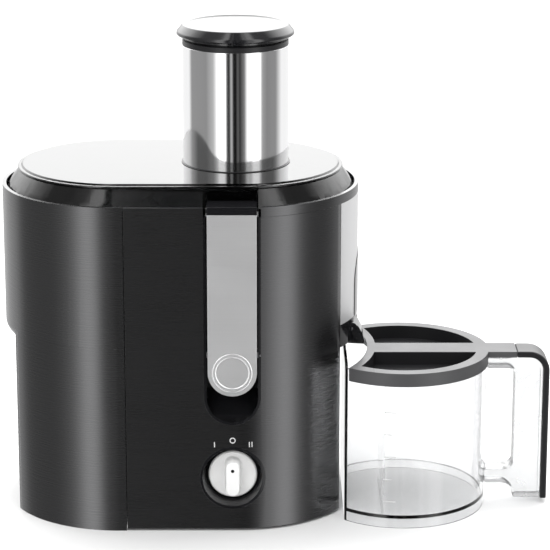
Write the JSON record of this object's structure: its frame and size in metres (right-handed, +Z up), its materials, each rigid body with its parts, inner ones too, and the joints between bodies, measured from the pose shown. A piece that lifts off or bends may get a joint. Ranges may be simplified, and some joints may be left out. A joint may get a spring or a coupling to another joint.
{
  "type": "centrifugal juicer",
  "caption": "Centrifugal juicer: oval motor body with pulp container, clear lid with steel feed chute and pusher, front clamp, speed knob, and clear jug under the spout.",
  "frame": {"origin": "middle of the bounding box in plan, on the surface that the juicer stands on", "axes": "+X to the right, from the pulp container to the jug; +Y to the back; +Z up. The rotor's axis is vertical."},
  "size_m": [0.4256, 0.1906, 0.378],
  "materials": {
    "housing_plastic": "satin charcoal moulding",
    "container_plastic": "satin charcoal moulding",
    "gloss_black": "polished",
    "brushed_panel": "brushed",
    "chute_steel": "satin",
    "bright_steel": "bright",
    "plain_steel": "plain",
    "sieve_steel": "fine mesh",
    "black_rubber": "matt",
    "inner_black": "plain",
    "mark_grey": "printed",
    "laminated_iron": "laminated",
    "copper_coil": "enamelled",
    "cast_aluminium": "cast",
    "brass_trim": "plain",
    "carbon": "carbon",
    "board_green": "lacquered",
    "clear_lid": "clear moulding",
    "smoke_grey": "satin",
    "knob_white": "satin white",
    "clear_jug": "clear moulding",
    "handle_clear": "translucent",
    "lid_grey": "satin grey"
  },
  "bodies": {
    "root": {"motor_housing": "housing_plastic", "top_trim_ring": "gloss_black", "side_panel": "brushed_panel", "spout_arch": "gloss_black", "base_plate": "inner_black", "rubber_feet": "black_rubber", "base_screws": "plain_steel", "clamp_recess": "gloss_black", "clamp_pivot_pin": "plain_steel", "knob_dish": "gloss_black", "speed_marks": "mark_grey", "speed_switch": "inner_black", "motor_stator": "laminated_iron", "field_coils": "copper_coil", "upper_bracket": "cast_aluminium", "lower_bracket": "cast_aluminium", "motor_mounts": "black_rubber", "upper_bearing": "plain_steel", "lower_bearing": "plain_steel", "brush_holders": "brass_trim", "carbon_brushes": "carbon", "control_board": "board_green", "interlock_switch": "inner_black", "cord_gland": "black_rubber", "rear_vent": "inner_black", "shaft_seal": "black_rubber", "juice_collector": "inner_black", "spout_hood": "gloss_black", "spout_pin": "plain_steel", "motor_bolts": "plain_steel"},
    "rotor": {"rotor_shaft": "plain_steel", "armature": "laminated_iron", "commutator": "brass_trim", "cooling_fan": "inner_black", "drive_coupling": "plain_steel", "filter_frame": "inner_black", "filter_sieve": "sieve_steel", "grating_disc": "sieve_steel"},
    "lid": {"lid_cover": "clear_lid", "chute_tube": "smoke_grey", "chute_sleeve": "chute_steel", "lid_baffle": "smoke_grey"},
    "pusher": {"pusher": "inner_black", "pusher_cap": "gloss_black"},
    "clamp": {"clamp_arm": "gloss_black", "clamp_plate": "brushed_panel", "clamp_ring": "bright_steel"},
    "knob": {"control_knob": "knob_white", "knob_spindle": "plain_steel", "knob_dot": "gloss_black"},
    "pulp_container": {"pulp_container": "container_plastic"},
    "jug": {"jug_body": "clear_jug", "jug_handle": "handle_clear", "handle_strip": "smoke_grey", "jug_marks": "mark_grey"},
    "jug_lid": {"jug_lid": "lid_grey", "froth_separator": "clear_jug"},
    "drip_stop": {"drip_stop": "gloss_black"}
  },
  "joints": [
    {"name": "rotor_spin", "type": "hinge", "parent": "root", "child": "rotor", "pos_m": [-0.0318, 0.00325, 0.164], "axis": [0, 0, 1], "continuous": true},
    {"name": "lid_lift", "type": "slide", "parent": "root", "child": "lid", "axis": [0, 0, 1], "range_m": [0, 0.04]},
    {"name": "pusher_lift", "type": "slide", "parent": "lid", "child": "pusher", "axis": [0, 0, 1], "range_m": [0, 0.18]},
    {"name": "clamp_swing", "type": "hinge", "parent": "root", "child": "clamp", "pos_m": [-0.0338, -0.08525, 0.1405], "axis": [1, 0, 0], "range_deg": [0, 40]},
    {"name": "knob_turn", "type": "hinge", "parent": "root", "child": "knob", "pos_m": [-0.0338, -0.08875, 0.043], "axis": [0, 1, 0], "range_deg": [-27, 27]},
    {"name": "container_slide", "type": "slide", "parent": "root", "child": "pulp_container", "axis": [-1, 0, 0], "range_m": [0, 0.15]},
    {"name": "jug_slide", "type": "slide", "parent": "root", "child": "jug", "axis": [1, 0, 0], "range_m": [0, 0.15]},
    {"name": "jug_lid_lift", "type": "slide", "parent": "jug", "child": "jug_lid", "axis": [0, 0, 1], "range_m": [0, 0.03]},
    {"name": "drip_stop_turn", "type": "hinge", "parent": "root", "child": "drip_stop", "pos_m": [0.0577, -0.01005, 0.143], "axis": [0, -1, 0], "range_deg": [0, 35]}
  ],
  "couplings": [
    {"joint": "clamp_swing", "follows": "lid_lift", "rad_per_m": 17.453}
  ]
}
